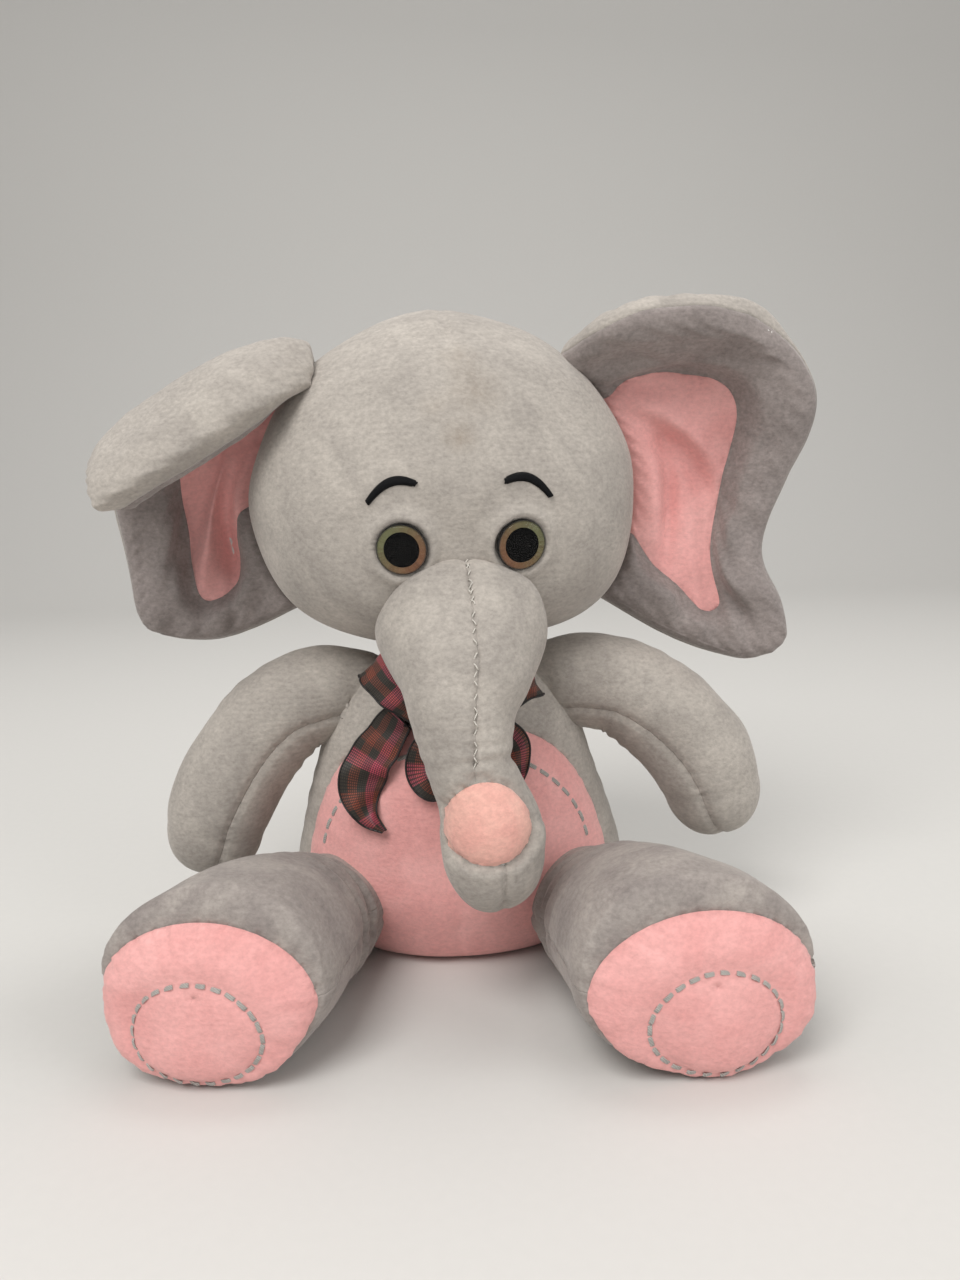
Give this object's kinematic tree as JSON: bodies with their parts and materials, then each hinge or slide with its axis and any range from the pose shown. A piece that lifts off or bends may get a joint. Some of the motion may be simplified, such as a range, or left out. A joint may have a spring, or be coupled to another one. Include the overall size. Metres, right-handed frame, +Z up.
{
  "type": "stuffed elephant",
  "caption": "Sitting plush elephant with padded ears, hanging trunk, jointed soft limbs, safety eyes and a ribbon bow at the neck.",
  "frame": {"origin": "centre of the flat seat, on the surface that the toy sits on", "axes": "+Z up, -Y the way the toy faces, +X the toy's left"},
  "size_m": [0.2828, 0.2042, 0.2501],
  "materials": {
    "grey_plush": "short pile",
    "ear_plush": "short pile",
    "pink_plush": "short pile",
    "grey_thread": "satin stitch",
    "fibre_fill": "loose fibre",
    "plaid_ribbon": "sheer woven check with corded edges",
    "black_thread": "satin stitch",
    "eye_lens": "clear, polished",
    "iris_print": "printed",
    "pupil_print": "printed",
    "black_plastic": "moulded",
    "white_plastic": "moulded",
    "tuft_yarn": "yarn"
  },
  "bodies": {
    "torso": {"torso_left_panel": "grey_plush", "torso_right_panel": "grey_plush", "tummy_panel": "pink_plush", "tummy_stitches": "grey_thread", "seat_panel": "grey_plush", "torso_stuffing": "fibre_fill", "back_seam_thread": "grey_thread", "neck_ribbon": "plaid_ribbon", "bow_knot": "plaid_ribbon", "bow_left_loop": "plaid_ribbon", "bow_right_loop": "plaid_ribbon", "bow_left_tail": "plaid_ribbon", "bow_right_tail": "plaid_ribbon", "bow_middle_tail": "plaid_ribbon"},
    "neck": {"neck_stuffing": "fibre_fill"},
    "head": {"head_face_panel": "grey_plush", "head_back_panel": "grey_plush", "head_stuffing": "fibre_fill", "left_eyebrow": "black_thread", "right_eyebrow": "black_thread", "left_eye_dome": "eye_lens", "right_eye_dome": "eye_lens", "left_eye_iris": "iris_print", "right_eye_iris": "iris_print", "left_eye_pupil": "pupil_print", "right_eye_pupil": "pupil_print", "left_eye_shank": "black_plastic", "right_eye_shank": "black_plastic", "eye_washers": "white_plastic"},
    "trunk": {"trunk_left_panel": "grey_plush", "trunk_right_panel": "grey_plush", "trunk_tip_pad": "pink_plush", "trunk_stuffing": "fibre_fill"},
    "left_ear": {"left_ear_back": "ear_plush", "left_ear_rim": "ear_plush", "left_ear_inner": "pink_plush", "left_ear_wadding": "fibre_fill"},
    "right_ear": {"right_ear_back": "ear_plush", "right_ear_rim": "ear_plush", "right_ear_inner": "pink_plush", "right_ear_wadding": "fibre_fill"},
    "left_arm": {"left_arm_upper_panel": "grey_plush", "left_arm_under_panel": "grey_plush", "left_arm_stuffing": "fibre_fill"},
    "right_arm": {"right_arm_upper_panel": "grey_plush", "right_arm_under_panel": "grey_plush", "right_arm_stuffing": "fibre_fill"},
    "left_leg": {"left_leg_upper_panel": "grey_plush", "left_leg_under_panel": "grey_plush", "left_leg_stuffing": "fibre_fill", "left_sole": "pink_plush", "left_sole_stitches": "grey_thread"},
    "right_leg": {"right_leg_upper_panel": "grey_plush", "right_leg_under_panel": "grey_plush", "right_leg_stuffing": "fibre_fill", "right_sole": "pink_plush", "right_sole_stitches": "grey_thread"},
    "tail": {"tail_cover": "grey_plush", "tail_tuft": "tuft_yarn"}
  },
  "joints": [
    {"name": "head_turn", "type": "hinge", "parent": "torso", "child": "neck", "pos_m": [0, 0, 0.13], "axis": [0, 0, 1], "range_deg": [-20, 6], "stiffness_Nm_per_rad": 0.8},
    {"name": "head_nod", "type": "hinge", "parent": "neck", "child": "head", "pos_m": [0, 0, 0.13], "axis": [-0.9925, -0.1219, 0], "range_deg": [0, 10], "stiffness_Nm_per_rad": 1.5},
    {"name": "trunk_lift", "type": "hinge", "parent": "head", "child": "trunk", "pos_m": [0.00561, -0.04568, 0.13326], "axis": [-0.9925, -0.1219, 0], "range_deg": [0, 35], "stiffness_Nm_per_rad": 0.15},
    {"name": "left_ear_flap", "type": "hinge", "parent": "head", "child": "left_ear", "pos_m": [0.07513, 0.01025, 0.18899], "axis": [-0.1717, -0.0542, 0.9837], "range_deg": [-15, 15], "stiffness_Nm_per_rad": 0.12},
    {"name": "right_ear_flap", "type": "hinge", "parent": "head", "child": "right_ear", "pos_m": [-0.07479, 0.0071, 0.18636], "axis": [0.1535, -0.0588, 0.9864], "range_deg": [-15, 15], "stiffness_Nm_per_rad": 0.12},
    {"name": "left_arm_swing", "type": "hinge", "parent": "torso", "child": "left_arm", "pos_m": [0.04261, -0.003, 0.1017], "axis": [-1, 0, 0], "range_deg": [-20, 35], "stiffness_Nm_per_rad": 0.25},
    {"name": "right_arm_swing", "type": "hinge", "parent": "torso", "child": "right_arm", "pos_m": [-0.04261, -0.003, 0.1017], "axis": [-1, 0, 0], "range_deg": [-20, 35], "stiffness_Nm_per_rad": 0.25},
    {"name": "left_leg_lift", "type": "hinge", "parent": "torso", "child": "left_leg", "pos_m": [0.04416, -0.02842, 0.03], "axis": [-0.9455, -0.3256, 0], "range_deg": [0, 25], "stiffness_Nm_per_rad": 0.4},
    {"name": "right_leg_lift", "type": "hinge", "parent": "torso", "child": "right_leg", "pos_m": [-0.04416, -0.02842, 0.03], "axis": [-0.9455, 0.3256, 0], "range_deg": [0, 25], "stiffness_Nm_per_rad": 0.4},
    {"name": "tail_wag", "type": "hinge", "parent": "torso", "child": "tail", "pos_m": [0, 0.04436, 0.01921], "axis": [0, 0, 1], "range_deg": [-25, 25], "stiffness_Nm_per_rad": 0.02}
  ]
}
